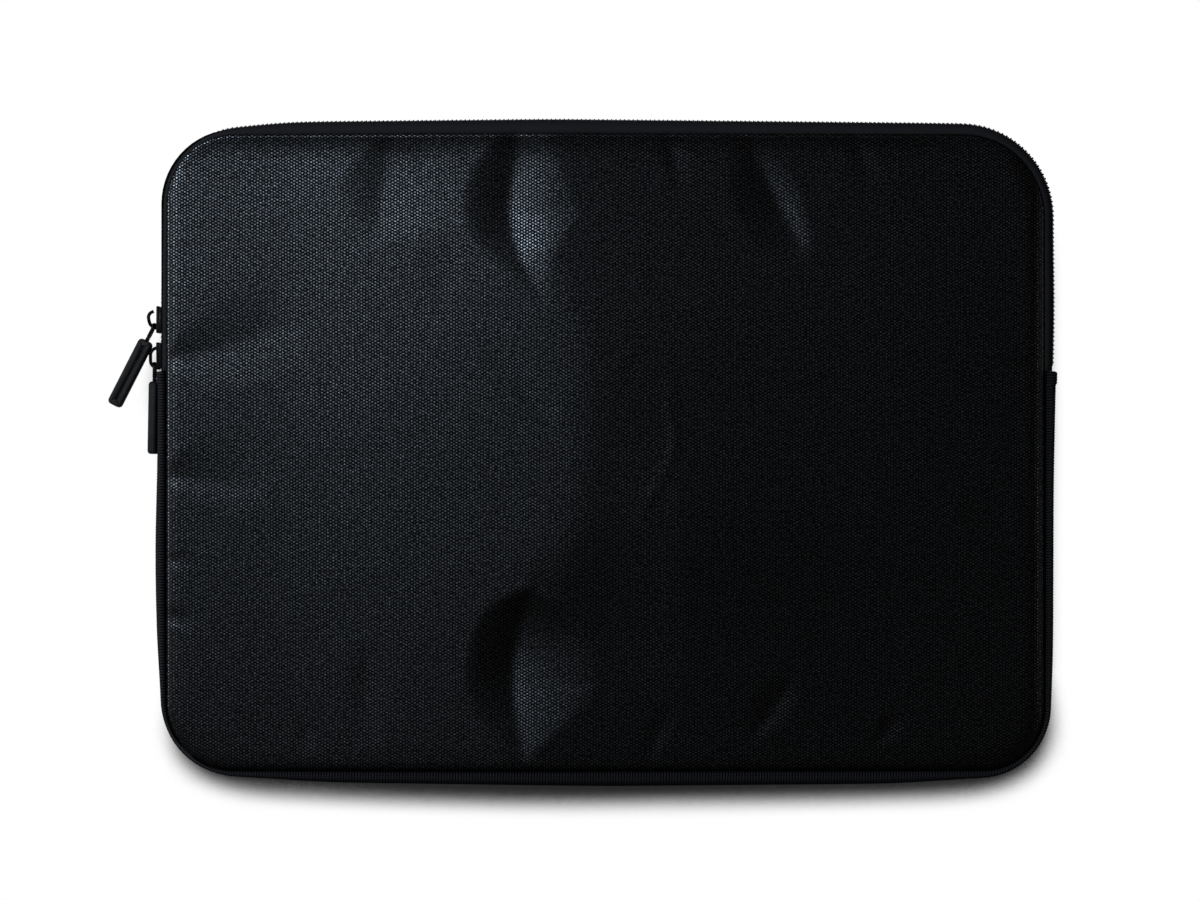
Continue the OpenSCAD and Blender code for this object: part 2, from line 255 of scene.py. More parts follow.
def woven_cover():
    """Coarse plain weave: glossy floats of the upright yarns stand as staggered dots between gaps of painted
    shade.
    """
    # Painted shade: the gaps between the floats get a near-black colour and no reflection, for the shade
    # between the yarns
    gap_shade_colour, float_colour = (0.0002, 0.0002, 0.0002), (0.0054, 0.0036, 0.0015)
    gap_shade_gloss, float_gloss = (0.0, 0.0, 0.0), (0.78, 0.88, 1.0)
    gap_roughness, float_roughness = 0.6, 0.31
    mat, tree, shader = material("woven_cover", Specular_IOR_Level=1.0)
    across, along, uv = cloth_grid(tree, wobble=0.5)
    dots = staggered_dots(tree, across, along)
    glints = wire(tree, "ShaderNodeTexNoise", {"Vector": uv, "Scale": 0.95, "Detail": 1})
    mottle = wire(tree, "ShaderNodeTexNoise", {"Vector": uv, "Scale": 0.22, "Detail": 3})
    glint_share = stretch(tree, glints, 0.33, 0.67, 0.18, 1.0)
    mottle_share = stretch(tree, mottle, 0.3, 0.7, 0.75, 1.0)
    tone = maths(tree, "MULTIPLY", dots, maths(tree, "MULTIPLY", glint_share, mottle_share))
    roughness = stretch(tree, dots, 0, 0.3, gap_roughness, float_roughness)
    tree.links.new(shade(tree, tone, gap_shade_colour, float_colour), shader.inputs["Base Color"])
    tree.links.new(shade(tree, tone, gap_shade_gloss, float_gloss), shader.inputs["Specular Tint"])
    tree.links.new(roughness, shader.inputs["Roughness"])
    relief(tree, shader, stretch(tree, dots, 0, 0.5, 0, 1), 0.025 * MM)
    return mat


def ribbed_webbing():
    """Matt webbing whose ribs are in the mesh, with the fine yarns along each rib; painted shade darkens the
    grooves.
    """
    # Painted shade: the groove colour darkens the grooves between the ribs and the lines between the yarns
    groove_shade_colour, rib_colour = (0.0008, 0.0008, 0.0008), (0.0105, 0.0108, 0.012)
    mat, tree, shader = material("ribbed_webbing", Specular_IOR_Level=0.0, Roughness=0.9)
    along, across, _ = cloth_grid(tree, wobble=0.3)
    ribs = stretch(tree, wave(tree, along, RIB_PITCH_MM), -0.6, 0.9, 0, 1)
    yarns = stretch(tree, wave(tree, across, YARN_PITCH), -1, 1, 0.45, 1)
    lit = maths(tree, "MULTIPLY", ribs, yarns)
    tree.links.new(shade(tree, lit, groove_shade_colour, rib_colour), shader.inputs["Base Color"])
    relief(tree, shader, lit, 0.1 * MM)
    return mat


def tape_twill(name, dark, light, pitch):
    """Matt fine twill of the zip tapes, the seam cloth, the linings and the bindings."""
    mat, tree, shader = material(name, Specular_IOR_Level=0.0, Roughness=0.9)
    across, along, _ = cloth_grid(tree, wobble=0.2)
    slanted = maths(tree, "MULTIPLY_ADD", along, 0.7, across)
    twill = stretch(tree, wave(tree, slanted, pitch), -1, 1, 0, 1)
    tree.links.new(shade(tree, twill, dark, light), shader.inputs["Base Color"])
    relief(tree, shader, twill, 0.08 * MM)
    return mat


def moulded(name, dark, light, roughness, grain_scale, grain_depth, **constants):
    """Moulded or enamelled surface with a fine grain and a little variation in colour and gloss."""
    spread = 0.06
    mat, tree, shader = material(name, **constants)
    place = tree.nodes.new("ShaderNodeTexCoord").outputs["Object"]
    grain = wire(tree, "ShaderNodeTexNoise", {"Vector": place, "Scale": grain_scale, "Detail": 4})
    patches = wire(tree, "ShaderNodeTexNoise", {"Vector": place, "Scale": grain_scale / 12, "Detail": 2})
    tone = stretch(tree, patches, 0.3, 0.7, 0, 1)
    uneven = stretch(tree, grain, 0.3, 0.7, roughness - spread, roughness + spread)
    tree.links.new(shade(tree, tone, dark, light), shader.inputs["Base Color"])
    tree.links.new(uneven, shader.inputs["Roughness"])
    relief(tree, shader, grain, grain_depth)
    return mat


COVER_CLOTH = woven_cover()
WEBBING = ribbed_webbing()
ZIP_TAPE = tape_twill("zip_tape_twill", (0.002, 0.002, 0.0021), (0.012, 0.0122, 0.0135), pitch=0.9)
# Near-black matt cloth of the seam allowances and stitches: partly their colour, partly painted shade in the
# seam grooves
SEAM_CLOTH_AND_SHADE = tape_twill("seam_cloth_and_painted_shade", (0.0008, 0.0008, 0.0008), (0.002, 0.002, 0.002), pitch=0.6)
LINING = tape_twill("lining_twill", (0.02, 0.02, 0.022), (0.035, 0.035, 0.038), pitch=0.4)
BINDING = tape_twill("binding_twill", (0.01, 0.01, 0.011), (0.022, 0.022, 0.024), pitch=0.6)
FOAM = moulded(
    "open_cell_foam", (0.06, 0.06, 0.065), (0.1, 0.1, 0.105), roughness=0.9, grain_scale=2500,
    grain_depth=0.3 * MM)
COIL_NYLON = moulded(
    "coil_nylon", (0.004, 0.004, 0.0043), (0.008, 0.008, 0.0088), roughness=0.42, grain_scale=1800,
    grain_depth=0.02 * MM, Specular_IOR_Level=0.2)
SLIDER_ENAMEL = moulded(
    "slider_enamel", (0.0015, 0.0015, 0.0016), (0.003, 0.003, 0.0032), roughness=0.3, grain_scale=1500,
    grain_depth=0.015 * MM, Specular_IOR_Level=0.012)
GRIP_RUBBER = moulded(
    "grip_rubber", (0.003, 0.003, 0.0032), (0.0046, 0.0046, 0.005), roughness=0.6, grain_scale=3000,
    grain_depth=0.03 * MM, Specular_IOR_Level=0.05)


# Mesh helpers

def finished(name, bm, mat, body=None, replaces=(), thickness=0.0):
    """Makes a piece of a bmesh, smooth and with its finish; a piece with no body is left unattached."""
    mesh = bpy.data.meshes.new(name)
    bm.to_mesh(mesh)
    bm.free()
    mesh.materials.append(mat)
    mesh.shade_smooth()
    piece = bpy.data.objects.new(name, mesh)
    bpy.context.scene.collection.objects.link(piece)
    if thickness:
        wall = piece.modifiers.new("cloth_thickness", "SOLIDIFY")
        wall.thickness = thickness
        wall.offset = -1
        wall.use_even_offset = False
    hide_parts(*replaces)
    if body:
        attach(piece, body)
    return piece


def mapped_grid(columns, rows, place):
    """Grid of quads moved to place(u, v), u and v from 0 to 1, with the flat cloth position in mm as UV."""
    bm = bmesh.new()
    bmesh.ops.create_grid(bm, x_segments=columns, y_segments=rows, size=0.5)
    flat = np.array([vert.co[:2] for vert in bm.verts]) + 0.5
    points, cloth = place(flat[:, 0], flat[:, 1])
    for vert, point in zip(bm.verts, points):
        vert.co = point
    layer = bm.loops.layers.uv.new("cloth")
    for face in bm.faces:
        for loop in face.loops:
            loop[layer].uv = cloth[loop.vert.index]
    return bm


def faces_out(bm, towards):
    """Turns a sheet so that its faces look the given way on average."""
    total = Vector((0, 0, 0))
    for face in bm.faces:
        total += face.normal * face.calc_area()
    if total.dot(Vector(towards)) < 0:
        bmesh.ops.reverse_faces(bm, faces=bm.faces[:])
    return bm


def bevel_edges(bm, edges, offset, segments):
    """Rounds edges over a width."""
    bmesh.ops.bevel(
        bm, geom=edges, offset=offset, segments=segments, profile=0.5, affect="EDGES", material=-1)


def block(bm, centre, size):
    """Corners of a new box."""
    place = Matrix.Translation(centre) @ Matrix.Diagonal((*size, 1))
    return bmesh.ops.create_cube(bm, size=1, matrix=place)["verts"]


def round_edges(bm, verts, width, segments=2):
    """Rounds every edge between the given corners."""
    corners = set(verts)
    edges = [edge for edge in bm.edges if edge.verts[0] in corners and edge.verts[1] in corners]
    bevel_edges(bm, edges, width, segments)


def rod(bm, centre, turn, diameter, length, sides=16):
    """Cylinder about a turned Z axis."""
    radius = diameter / 2
    place = Matrix.Translation(centre) @ turn
    bmesh.ops.create_cone(
        bm, cap_ends=True, segments=sides, radius1=radius, radius2=radius, depth=length, matrix=place)


# Panels

PANEL_STEP = 1.5 * MM
COVER_T = 0.8 * MM
RIM_SIDES = (  # way to the side, width and fall of the front's rim there, and depth of its groove, in mm
    ((-1, 0), 4, 0.75, 0.5),
    ((1, 0), 7, 2.2, 0.5),
    ((0, 1), 10, -1.1, 0.0),
    ((0, -1), 11, 0.3, 0.5),
)
RIM_BLEND = 14 * MM
RIM_FORM = 2.2
BACK_RIM_W = 5 * MM
BACK_GROOVE_DEPTH = 0.5 * MM
GROOVE_W = 0.8 * MM

# Crown of the front: two slopes that meet in a ridge up the panel; it falls towards both ends, from shares
# of the half height on
FRONT_LEVEL = FRONT_SEAM_Z + 3.0 * MM
RIDGE_X = -8 * MM
RIDGE_H = 5.0 * MM
RIDGE_LEFT_W = 115 * MM
RIDGE_RIGHT_W = 178 * MM
RIDGE_ROUND = 0.35 * MM
RIDGE_TOP_FALL = 1.4 * MM
RIDGE_TOP_FROM = 0.25
RIDGE_BOTTOM_FALL = 2.4 * MM
RIDGE_BOTTOM_FROM = 0.15
RIDGE_FALL_SHARE = 0.5
RIDGE_HOLLOW = 3.0 * MM
LEFT_FOOT = 0.12
RIGHT_FALL = 1.5 * MM
ROLL = 0.9 * MM

# Puckers at the stitches, and slow waves of the padding with their lengths and heights
STITCH_PITCH = 3.1 * MM
PUCKER_DEPTH = 0.22 * MM
PUCKER_REACH = 3.0 * MM
WAVES = ((55 * MM, 0.13 * MM), (17 * MM, 0.035 * MM))
WAVE_LEVEL = 0.3

# Creases of the front panel, in mm: stations of x, y, width of the flank to the right and to the left of the
# way that the stations run, and depth, which is below 0 on a raised wrinkle
CREASES = {
    "top_left": (
        (-84.4, 120.2, 4, 12, 0.25), (-85.5, 110.5, 13, 36, 0.8), (-87, 100.8, 15, 40, 0.85),
        (-88, 91.1, 11, 36, 0.55), (-88.6, 81.5, 4, 14, 0),
    ),
    "top_left_small": ((-74.7, 118.2, 1.5, 4, 0.1), (-71, 112, 2, 6, 0.2), (-68.5, 107, 1.5, 4, 0)),
    "top_middle": (
        (-34.8, 120.2, 7.7, 12, 0.8), (-35.6, 110.5, 13.9, 19, 1.8), (-37.2, 100.8, 16.3, 25, 2.2),
        (-37.9, 93.1, 17.4, 29, 2.3), (-36.4, 83.4, 14.5, 26, 1.8), (-32.9, 73, 6, 16, 0.7),
        (-27.5, 64, 2.5, 6, 0.25), (-22.4, 56.3, 1.5, 4, 0),
    ),
    "top_small": ((23.6, 121, 3.1, 4.7, 0.25), (25.9, 113.2, 3.9, 7, 0.4), (29.4, 103.9, 3.9, 6.3, 0)),
    "top_right": (
        (55.7, 119, 8, 2.5, 0.35), (61.5, 106.6, 15, 8.5, 1.15), (67.3, 94.2, 16, 9, 1.25),
        (73.1, 83.4, 14, 6.5, 0.75), (78.2, 75.3, 8, 2, 0),
    ),
    "top_far_right": ((96.4, 121, 3.5, 3.5, 0.2), (99.9, 112.4, 4.7, 5.5, 0.3), (103.4, 101.6, 4.7, 5.5, 0)),
    "bottom_middle": (
        (-29, -54.8, 1.5, 12, 0.3), (-32.1, -63.7, 13.5, 26, 2.5), (-34.8, -73.3, 16.3, 30, 3.6),
        (-36.4, -83, 17.4, 32, 3.8), (-36.4, -92.7, 17.4, 34, 3.1), (-35.2, -102.4, 14.7, 28, 2.0),
        (-33.7, -112, 8.5, 14, 1.0), (-32.1, -120.9, 1.5, 1.5, 0.1),
    ),
    "bottom_left": ((-92, -73.3, 5, 8, 0), (-94.4, -92.7, 6, 10, 0.35), (-93, -111, 5, 8, 0.1)),
    "bottom_left_small": ((-118, -104, 3, 4, 0), (-116.5, -112, 3.5, 5, 0.25), (-117, -119, 2, 3, 0)),
    "bottom_small": ((25.9, -97.4, 3.9, 4.7, 0), (21.7, -105.9, 4.7, 5.5, 0.3), (17, -115.9, 3.9, 3.9, 0.2)),
    "bottom_right": (
        (73.5, -85.7, 4, 1.5, 0), (69.3, -94.2, 8, 6, 0.5), (62.3, -103.5, 8, 6, 0.5),
        (56.5, -112, 4, 2, 0.1),
    ),
    "bottom_far_right": ((115.7, -101.2, 3, 2, 0), (111.1, -107, 5, 4.5, 0.4), (105.7, -112.8, 4, 3, 0.15)),
    "left_zip_end": (
        (-170.6, 35.4, 4, 4, 0.4), (-157.1, 38.1, 14, 12, 0.6), (-143.6, 41.6, 18, 18, 0.6),
        (-130, 45.9, 18, 20, 0.4), (-118.4, 49.7, 13, 14, 0),
    ),
    "left_middle": (
        (-170.6, -10.2, 3, 4, 0.4), (-157.1, -11.4, 8, 20, 0.5), (-145.5, -13.4, 10, 22, 0.4),
        (-132, -16.4, 6, 14, 0),
    ),
    "left_small": ((-170.3, -42.4, 3, 3, 0.35), (-160, -43.5, 3, 3, 0)),
    "left_low": ((-170.3, -64.4, 3.5, 3.9, 0.4), (-166, -65.6, 4, 4.7, 0.35), (-160, -68, 4, 4.7, 0)),
    "right_zip_end": ((170.3, 31.9, 3.9, 3.9, 0.4), (152.5, 38, 4.3, 4.3, 0)),
    "right_soft": ((138, -21, 8, 8, 0), (149, -27, 9, 10, 0.3), (162, -35, 8, 8, 0)),
    "upper_valley": ((-58.4, 95, 10, 12, 0), (-62.3, 70, 14, 16, 0.15), (-64.2, 46, 12, 14, 0)),
    "upper_slant": (
        (-52.6, 46.6, 2.5, 9, 0), (-39.1, 30.4, 2.5, 9, 0.2), (-25.5, 13.7, 2.5, 9, 0.2),
        (-13.9, -3.7, 2.5, 9, 0),
    ),
    "lower_slant": ((-49.5, -6.8, 2.5, 7, 0), (-39.1, -18, 2.5, 7, 0.16), (-27.5, -30, 2.5, 7, 0)),
    "middle_wrinkle": (
        (24, 38.9, 2.5, 3, 0), (24, 21.5, 2.5, 3, -0.12), (27.1, 4.1, 2.5, 3, -0.14),
        (22.4, -10.6, 2.5, 3, -0.16), (15.1, -20.3, 2.5, 3, -0.12), (9.3, -36.6, 2.5, 3, 0),
    ),
    "upper_wrinkle": ((14, 42, 2.5, 2.5, 0), (8, 36, 2.5, 2.5, -0.12), (2.5, 30, 2.5, 2.5, 0)),
    "lower_wrinkle": ((24, -36.6, 2.5, 2.5, 0), (24, -57.9, 2.5, 2.5, -0.1), (25.5, -73.3, 2.5, 2.5, 0)),
    "lower_ridge": (
        (28, 14, 25, 55, 0), (28, -15, 28, 60, -0.5), (30, -50, 30, 65, -0.8), (30, -85, 28, 60, -0.5),
        (26, -110, 20, 40, 0),
    ),
}
CREASE_SOFT = 0.7 * MM
CREASE_FORM = 1.3


def inset_from_seam(x, y):
    """How far inside the seam line points lie."""
    y = y - SEAM_MID_Y
    radius = np.zeros_like(x)
    for side_x, side_y, r, _ in CORNERS:
        radius = np.where((x * side_x >= 0) & (y * side_y >= 0), r * MM, radius)
    qx = np.abs(x) - SEAM_HALF_W + radius
    qy = np.abs(y) - SEAM_HALF_H + radius
    outside = np.hypot(np.maximum(qx, 0), np.maximum(qy, 0))
    return -(np.minimum(np.maximum(qx, qy), 0) + outside - radius)


def panel_plan(u, v, inset):
    """Carries a unit grid onto the seam's outline or one inside it, its rows drawn in at the corners."""
    half_w, half_h = SEAM_HALF_W - inset, SEAM_HALF_H - inset
    x = (2 * u - 1) * half_w
    y = (2 * v - 1) * half_h
    for side_x, side_y, radius, _ in CORNERS:
        r = radius * MM - inset
        a = (x * side_x - (half_w - r)) / r
        b = (y * side_y - (half_h - r)) / r
        bend = (a > 0) & (b > 0)
        a, b = np.clip(a, 0, 1), np.clip(b, 0, 1)
        x = np.where(bend, side_x * (half_w - r + r * a * np.sqrt(1 - b * b / 2)), x)
        y = np.where(bend, side_y * (half_h - r + r * b * np.sqrt(1 - a * a / 2)), y)
    return x, y + SEAM_MID_Y


def eased(stations):
    """Stations with their corners cut twice, so that a line through them bends softly."""
    rows = np.array(stations, float)
    for _ in range(2):
        first = 0.75 * rows[:-1] + 0.25 * rows[1:]
        second = 0.25 * rows[:-1] + 0.75 * rows[1:]
        cut = np.stack([first, second], axis=1).reshape(-1, rows.shape[1])
        rows = np.vstack([rows[:1], cut, rows[-1:]])
    return rows


def crease_depth(x, y, stations):
    """Depth of one crease: two flanks that meet in a line through the stations."""
    at_x, at_y, right_w, left_w, depth = eased(stations).T * MM
    nearest = np.full_like(x, np.inf)
    drop = np.zeros_like(x)
    for i in range(len(depth) - 1):
        run_x, run_y = at_x[i + 1] - at_x[i], at_y[i + 1] - at_y[i]
        share = ((x - at_x[i]) * run_x + (y - at_y[i]) * run_y) / (run_x ** 2 + run_y ** 2)
        share = np.clip(share, 0, 1)
        off_x, off_y = x - at_x[i] - share * run_x, y - at_y[i] - share * run_y
        off = np.hypot(off_x, off_y)
        right = right_w[i] + share * (right_w[i + 1] - right_w[i])
        left = left_w[i] + share * (left_w[i + 1] - left_w[i])
        width = np.where(run_x * off_y - run_y * off_x > 0, left, right)
        flank = np.clip(1 - (np.hypot(off, CREASE_SOFT) - CREASE_SOFT) / width, 0, 1) ** CREASE_FORM
        here = (depth[i] + share * (depth[i + 1] - depth[i])) * flank
        drop = np.where(off < nearest, here, drop)
        nearest = np.minimum(nearest, off)
    return drop


def crown_height(x, y):
    """Crown of the front: two slopes that meet in a ridge, the right one hollow, and lower at both ends."""
    up = (y - SEAM_MID_Y) / SEAM_HALF_H
    past = np.where(up > 0, up - RIDGE_TOP_FROM, -up - RIDGE_BOTTOM_FROM)
    share = np.clip(past / RIDGE_FALL_SHARE, 0, 1)
    drop = np.where(up > 0, RIDGE_TOP_FALL, RIDGE_BOTTOM_FALL) * share ** 2 * (3 - 2 * share)
    left = (x - RIDGE_X + RIDGE_LEFT_W) / RIDGE_LEFT_W
    left = RIDGE_H * (left + np.hypot(left, LEFT_FOOT)) / 2
    right = (x - RIDGE_X) / RIDGE_RIGHT_W
    right = (RIDGE_H - drop - RIDGE_HOLLOW * right) * (1 - right) - RIGHT_FALL * right
    return (left + right) / 2 - np.hypot((left - right) / 2, RIDGE_ROUND) - ROLL * up ** 2


def front_rim(x, y, inset):
    """How far the front falls towards its seam: each side has a rim of its own, and they blend."""
    width, fall, groove, total = (np.zeros_like(x) for _ in range(4))
    for (way_x, way_y), side_w, side_fall, side_groove in RIM_SIDES:
        from_side = SEAM_HALF_W - x * way_x if way_x else SEAM_HALF_H - (y - SEAM_MID_Y) * way_y
        weight = np.exp(-from_side / RIM_BLEND)
        width += weight * side_w * MM
        fall += weight * side_fall * MM
        groove += weight * side_groove * MM
        total += weight
    rim = fall / total * (1 - np.clip(inset * total / width, 0, 1)) ** RIM_FORM
    return rim + groove / total * np.exp(-inset / GROOVE_W)


def front_form(x, y):
    """Height of the front over its level: crown, creases, slow waves and rim."""
    height = crown_height(x, y) + slow_waves(x, y)
    for stations in CREASES.values():
        height = height - crease_depth(x, y, stations)
    return height - front_rim(x, y, inset_from_seam(x, y))


def slow_waves(x, y):
    """Unevenness of the padding under the cloth."""
    waves = np.zeros_like(x)
    for length, depth in WAVES:
        waves += [depth * noise.noise((px / length, py / length, WAVE_LEVEL)) for px, py in zip(x, y)]
    return waves


def back_form(x, y):
    """Height of the back over its seam: flat where it rests, with a rounded rim."""
    rim = np.clip(inset_from_seam(x, y) / BACK_RIM_W, 0, 1)
    rise = np.minimum((PANEL_RISE + slow_waves(x, y)) * np.sqrt(1 - (1 - rim) ** 2), PANEL_RISE)
    return rise - BACK_GROOVE_DEPTH * np.exp(-inset_from_seam(x, y) / GROOVE_W)


def seam_pull(x, y):
    """How far the stitches draw a panel in at its seam: a pucker at each stitch."""
    inset = inset_from_seam(x, y)
    near = np.clip(np.searchsorted(SEAM_TURN, np.arctan2(y, x)), 0, len(SEAM_TURN) - 1)
    pucker = np.cos(2 * math.pi * SEAM_TURN_RUN[near] / STITCH_PITCH)
    return -PUCKER_DEPTH * pucker * np.exp(-inset / PUCKER_REACH)


def seam_turn_table(step=0.25 * MM):
    """Running length of the seam by direction from the middle of the panel, for the puckers."""
    run = np.arange(0, SEAM_LENGTH, step)
    x, y, _ = on_seam(run)
    turn = np.arctan2(y, x)
    order = np.argsort(turn)
    return turn[order], run[order]


SEAM_TURN, SEAM_TURN_RUN = seam_turn_table()


def panel_sheet(side, sink=0.0, inset=0.0, step=PANEL_STEP):
    """Front (1) or back (-1) panel as one sheet, sunk below the outer surface and inset from the seam."""
    level, form = (FRONT_LEVEL, front_form) if side > 0 else (BACK_SEAM_Z, back_form)

    def place(u, v):
        x, y = panel_plan(u, v, inset)
        height = form(x, y) - seam_pull(x, y)
        if side < 0:
            height = np.minimum(height, PANEL_RISE)
        height = height - sink
        points = np.stack([x, y, level + side * height], axis=1)
        return points, np.stack([x, y], axis=1) / MM

    columns, rows = round(2 * SEAM_HALF_W / step), round(2 * SEAM_HALF_H / step)
    return faces_out(mapped_grid(columns, rows, place), (0, 0, side))


FOAM_SINK = COVER_T + 0.1 * MM
FOAM_T = 3.0 * MM
FOAM_INSET = 5 * MM
LINING_SINK = FOAM_SINK + FOAM_T + 0.5 * MM
LINING_T = 0.4 * MM
LINING_INSET = 5.5 * MM
LAYER_STEP = 3 * MM


def foam_pad(side):
    """Foam under a panel, with its thickness in the mesh."""
    bm = panel_sheet(side, FOAM_SINK, FOAM_INSET, LAYER_STEP)
    bmesh.ops.solidify(bm, geom=bm.faces[:], thickness=FOAM_T)
    return bm


def panel_layers(side, name, nodes, body=None):
    """Cover, foam and lining of the front (1) or the back (-1), in place of those of the named nodes."""
    cover = finished(
        f"{name}_cover_cloth", panel_sheet(side), COVER_CLOTH, body,
        [f"{node}_cover" for node in nodes], COVER_T)
    foam = finished(
        f"{name}_foam_pad", foam_pad(side), FOAM, body, [f"{node}_foam" for node in nodes])
    inner_sheet = panel_sheet(side, LINING_SINK, LINING_INSET, LAYER_STEP)
    lining = finished(
        f"{name}_lining_cloth", inner_sheet, LINING, body,
        [f"{node}_lining" for node in nodes], LINING_T)
    return cover, foam, lining


front_cover, front_foam, front_lining = panel_layers(1, "front", ("front", "flap"))
back_cover, back_foam, back_lining = panel_layers(-1, "back", ("back",), "sleeve")


# Side walls

WALL_ROUND = 2.6
SEAM_GAP = 0.7 * MM
TUCK = 1.2 * MM
TUCK_FROM = 0.9
TUCK_SHARE = 0.1
RIB_PITCH = RIB_PITCH_MM * MM
RIB_H = 0.14 * MM
RIB_COLUMNS = 4
RIB_FADE = 0.3
HEM_T = 0.5 * MM
HEM_LEN = 5 * MM
HEM_EDGE = 0.6 * MM
GUSSET_T = 1.0 * MM
GUSSET_FOAM_T = 1.4 * MM
GUSSET_FOAM_SINK = GUSSET_T + 0.2 * MM
GUSSET_LINING_SINK = GUSSET_T + GUSSET_FOAM_T + 0.3 * MM
INNER_TURN = math.radians(62)
INNER_TURNS = (-INNER_TURN, INNER_TURN)
TAPE_T = 0.7 * MM
TAPE_EDGE = 1.0 * MM
TAPE_STEP = 2 * MM
COIL_H = 1.2 * MM
STRIP_WIDTH_MM = 20

# Spans of the strips, in running lengths along the seam, and columns and rows of their grids
END_GAP = 0.1 * MM
ZIP_SPAN = (ZIP_FROM, ZIP_TO)
ZIP_LEN = ZIP_TO - ZIP_FROM
GUSSET_FROM = ZIP_TO + END_GAP
GUSSET_TO = SEAM_LENGTH + ZIP_FROM - END_GAP
GUSSET_SPAN = (GUSSET_FROM, GUSSET_TO)
GUSSET_LEN = GUSSET_TO - GUSSET_FROM
WHOLE_SEAM = (0, SEAM_LENGTH)
WEBBING_GRID = (round(GUSSET_LEN / RIB_PITCH) * RIB_COLUMNS, 14)
INNER_GRID = (200, 8)
TAPE_GRID = (round(ZIP_LEN / TAPE_STEP), 8)
ALLOWANCE_GRID = (400, 6)
BINDING_GRID = (360, 10)


def edge_table(step=2 * MM):
    """Height of the front panel's edge over the middle at even running lengths."""
    run = np.arange(0, SEAM_LENGTH + step, step)
    x, y, _ = on_seam(run)
    return run, FRONT_LEVEL + front_form(x, y) - MID_Z


EDGE_RUN, EDGE_UP = edge_table()


def wall_height(s, side):
    """Height over the middle where the wall meets the front (1) or the back (-1), at running lengths s."""
    front = np.interp(np.asarray(s) % SEAM_LENGTH, EDGE_RUN, EDGE_UP) - EDGE_DROP
    return np.where(side > 0, front, WALL_HALF_H)


def wall_profile(s, turn):
    """Distance past the seam and height over the middle, for turns from -90 (back) to 90 degrees (front)."""
    across, rise = np.cos(turn), np.sin(turn)
    out = SEAM_GAP + (wall_bulge(s) - SEAM_GAP) * np.abs(across) ** (2 / WALL_ROUND)
    up = wall_height(s, rise) * np.sign(rise) * np.abs(rise) ** (2 / WALL_ROUND)
    tuck = np.clip((np.abs(turn) / QUARTER - TUCK_FROM) / TUCK_SHARE, 0, 1) ** 2
    return out, up - np.sign(rise) * TUCK * tuck


def swept_sheet(span, grid, section):
    """Sheet along a span of the seam; section(s, v) gives distance past it and height over the middle."""
    def place(u, v):
        s = span[0] + (span[1] - span[0]) * u
        x, y, angle = on_seam(s)
        out, up = section(s, v)
        points = np.stack([x + out * np.cos(angle), y + out * np.sin(angle), MID_Z + up], axis=1)
        return points, np.stack([s - span[0], v * STRIP_WIDTH_MM * MM], axis=1) / MM

    bm = mapped_grid(*grid, place)
    bm.faces.ensure_lookup_table()
    inside = Vector((0, 0, MID_Z))
    face = bm.faces[len(bm.faces) // 2]
    if face.normal.dot(face.calc_center_median() - inside) < 0:
        bmesh.ops.reverse_faces(bm, faces=bm.faces[:])
    return bm


def wall_sheet(span, grid, turns, sink):
    """Plain part of the side wall between two turns, sunk below its outer surface."""
    def section(s, v):
        out, up = wall_profile(s, turns[0] + (turns[1] - turns[0]) * v)
        return out - sink, up

    return swept_sheet(span, grid, section)


def webbing_section(s, v):
    """Section of the ribbed gusset, with the hems that stand proud at both of its ends."""
    turn = QUARTER * (2 * v - 1)
    out, up = wall_profile(s, turn)
    ribs = RIB_H * np.cos(2 * math.pi * (s - GUSSET_FROM) / RIB_PITCH)
    from_end = np.minimum(s - GUSSET_FROM, GUSSET_TO - s)
    hem = HEM_T * np.clip((HEM_LEN - from_end) / HEM_EDGE, 0, 1)
    return out + (ribs + hem) * np.clip(np.cos(turn), 0, 1) ** RIB_FADE, up


gusset = finished(
    "gusset_webbing_strip", swept_sheet(GUSSET_SPAN, WEBBING_GRID, webbing_section), WEBBING,
    body="sleeve", replaces=("gusset_cover",), thickness=GUSSET_T)
gusset_foam = finished(
    "gusset_foam_strip", wall_sheet(GUSSET_SPAN, INNER_GRID, INNER_TURNS, GUSSET_FOAM_SINK), FOAM,
    body="sleeve", replaces=("gusset_foam",), thickness=GUSSET_FOAM_T)
gusset_lining = finished(
    "gusset_lining_strip", wall_sheet(GUSSET_SPAN, INNER_GRID, INNER_TURNS, GUSSET_LINING_SINK), LINING,
    body="sleeve", replaces=("gusset_lining",), thickness=LINING_T)

TAPE_TURN = math.asin((TAPE_EDGE / WALL_HALF_H) ** (WALL_ROUND / 2))
front_tape = finished(
    "front_zip_tape", wall_sheet(ZIP_SPAN, TAPE_GRID, (TAPE_TURN, QUARTER), COIL_H), ZIP_TAPE,
    replaces=("zip_tape_front",), thickness=TAPE_T)
back_tape = finished(
    "back_zip_tape", wall_sheet(ZIP_SPAN, TAPE_GRID, (-QUARTER, -TAPE_TURN), COIL_H), ZIP_TAPE,
    body="sleeve", replaces=("zip_tape_back",), thickness=TAPE_T)

SEAM_CUT = 10 * MM
SEAM_REACH = 2 * MM
SEAM_DEPTH = 1.3 * MM
SEAM_HANG = 4.5 * MM
ALLOWANCE_T = 0.4 * MM
STITCH_LEN = 2.3 * MM
STITCH_D = 0.45 * MM
STITCH_SIDES = 8


def allowance_level(s, side, out):
    """Height of the seam allowance over the middle: level at the groove, and lower in the pocket."""
    return wall_height(s, side) - SEAM_DEPTH - SEAM_HANG * ((SEAM_REACH - out) / SEAM_CUT) ** 2


def seam_strip(side):
    """Seam allowance: near-black, as painted shade in the groove beside a panel; it ends in the binding."""
    def section(s, v):
        out = SEAM_REACH - SEAM_CUT * v
        return out, side * allowance_level(s, side, out)

    return swept_sheet(WHOLE_SEAM, ALLOWANCE_GRID, section)


